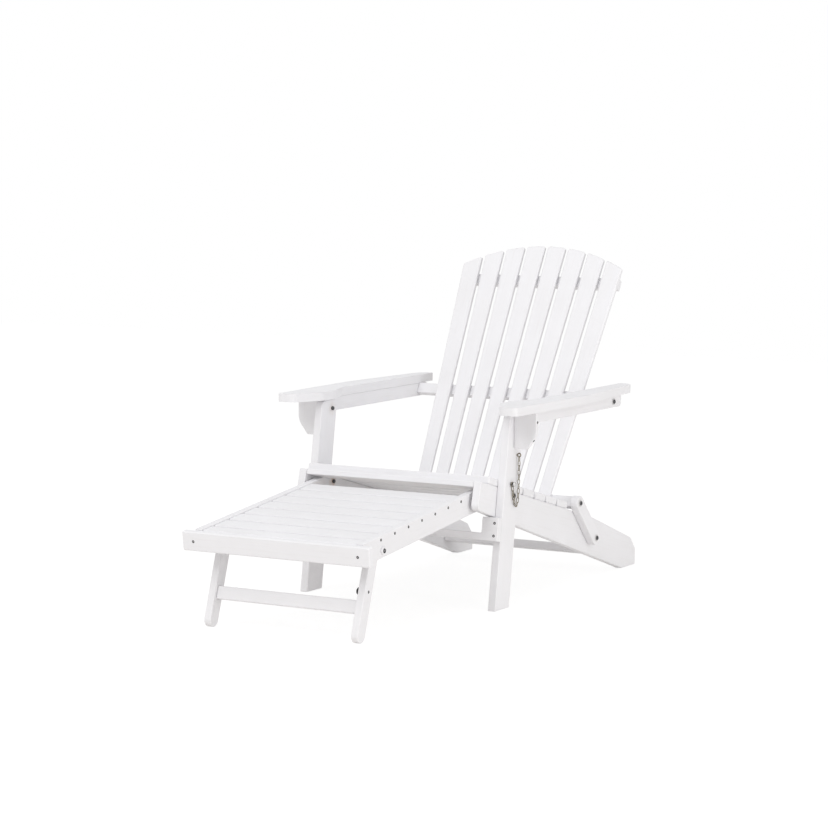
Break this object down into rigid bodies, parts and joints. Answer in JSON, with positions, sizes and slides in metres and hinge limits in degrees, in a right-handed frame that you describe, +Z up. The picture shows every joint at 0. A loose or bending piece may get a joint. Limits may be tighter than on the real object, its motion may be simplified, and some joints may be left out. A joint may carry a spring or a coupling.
{
  "type": "folding deck chair",
  "caption": "Folding slatted wooden deck chair with a fanned back, broad flat arms and a pull-out footrest on folding legs.",
  "frame": {"origin": "middle of the chair's box, on the floor, with the footrest drawn out", "axes": "+Z up, +Y from the footrest towards the back, +X to the right of someone facing the chair"},
  "size_m": [0.753, 1.4686, 0.9045],
  "materials": {
    "painted_wood": "white satin paint",
    "bare_wood": "plain dowel",
    "zinc_steel": "dull zinc",
    "brassed_steel": "brassed"
  },
  "bodies": {
    "seat": {"stringer_left": "painted_wood", "stringer_right": "painted_wood", "seat_slat_1": "painted_wood", "seat_slat_2": "painted_wood", "seat_slat_3": "painted_wood", "seat_slat_4": "painted_wood", "seat_slat_5": "painted_wood", "seat_slat_6": "painted_wood", "seat_slat_7": "painted_wood", "front_rail": "painted_wood", "rear_stretcher": "painted_wood"},
    "legs": {"front_leg_left": "painted_wood", "front_leg_right": "painted_wood", "cross_board": "painted_wood", "arm_bracket_left": "painted_wood", "arm_bracket_right": "painted_wood", "leg_bolt_left": "zinc_steel", "leg_bolt_right": "zinc_steel", "safety_chain": "brassed_steel"},
    "pin": {"lock_pin": "zinc_steel"},
    "arms": {"arm_left": "painted_wood", "arm_right": "painted_wood", "arm_rail_left": "painted_wood", "arm_rail_right": "painted_wood", "arm_bolt_left": "zinc_steel", "arm_bolt_right": "zinc_steel", "back_bolt_left": "zinc_steel", "back_bolt_right": "zinc_steel"},
    "links": {"back_link_left": "painted_wood", "back_link_right": "painted_wood", "link_bolt_left": "zinc_steel", "link_bolt_right": "zinc_steel"},
    "back": {"back_slat_1": "painted_wood", "back_slat_2": "painted_wood", "back_slat_3": "painted_wood", "back_slat_4": "painted_wood", "back_slat_5": "painted_wood", "back_slat_6": "painted_wood", "back_slat_7": "painted_wood", "back_slat_8": "painted_wood", "upper_batten": "painted_wood", "middle_batten": "painted_wood", "lower_batten": "painted_wood", "hinge_bolt_left": "zinc_steel", "hinge_bolt_right": "zinc_steel"},
    "rod": {"footrest_rod": "bare_wood"},
    "footrest": {"footrest_fascia": "painted_wood", "footrest_rail_left": "painted_wood", "footrest_rail_right": "painted_wood", "footrest_slat_1": "painted_wood", "footrest_slat_2": "painted_wood", "footrest_slat_3": "painted_wood", "footrest_slat_4": "painted_wood", "footrest_slat_5": "painted_wood", "footrest_slat_6": "painted_wood", "footrest_slat_7": "painted_wood", "footrest_slat_8": "painted_wood"},
    "foot_legs": {"footrest_leg_left": "painted_wood", "footrest_leg_right": "painted_wood", "footrest_leg_bar": "painted_wood"}
  },
  "joints": [
    {"name": "leg_fold", "type": "hinge", "parent": "seat", "child": "legs", "pos_m": [0, -0.0466, 0.29212], "axis": [1, 0, 0], "range_deg": [0, 66.01]},
    {"name": "arm_fold", "type": "hinge", "parent": "legs", "child": "arms", "pos_m": [0, -0.01563, 0.48768], "axis": [1, 0, 0], "range_deg": [-79.51, 0]},
    {"name": "link_fold", "type": "hinge", "parent": "seat", "child": "links", "pos_m": [0, 0.44048, 0.116], "axis": [1, 0, 0], "range_deg": [-106.78, 0]},
    {"name": "back_fold", "type": "hinge", "parent": "links", "child": "back", "pos_m": [0, 0.34048, 0.22526], "axis": [1, 0, 0], "range_deg": [0, 206.88]},
    {"name": "pin_pull", "type": "slide", "parent": "legs", "child": "pin", "axis": [1, 0, 0], "range_m": [0, 0.02]},
    {"name": "footrest_slide", "type": "slide", "parent": "seat", "child": "rod", "axis": [0, 0.9655, -0.2605], "range_m": [0, 0.52]},
    {"name": "footrest_tilt", "type": "hinge", "parent": "rod", "child": "footrest", "pos_m": [0, -0.14552, 0.28706], "axis": [1, 0, 0], "range_deg": [-21.75, 0]},
    {"name": "foot_leg_fold", "type": "hinge", "parent": "footrest", "child": "foot_legs", "pos_m": [0, -0.62417, 0.22161], "axis": [1, 0, 0], "range_deg": [0, 114]}
  ],
  "couplings": [
    {"joint": "leg_fold", "follows": "link_fold", "ratio": -0.61811},
    {"joint": "arm_fold", "follows": "link_fold", "ratio": 0.74454},
    {"joint": "back_fold", "follows": "link_fold", "ratio": -1.9374},
    {"joint": "footrest_tilt", "follows": "footrest_slide", "rad_per_m": -0.72811}
  ]
}
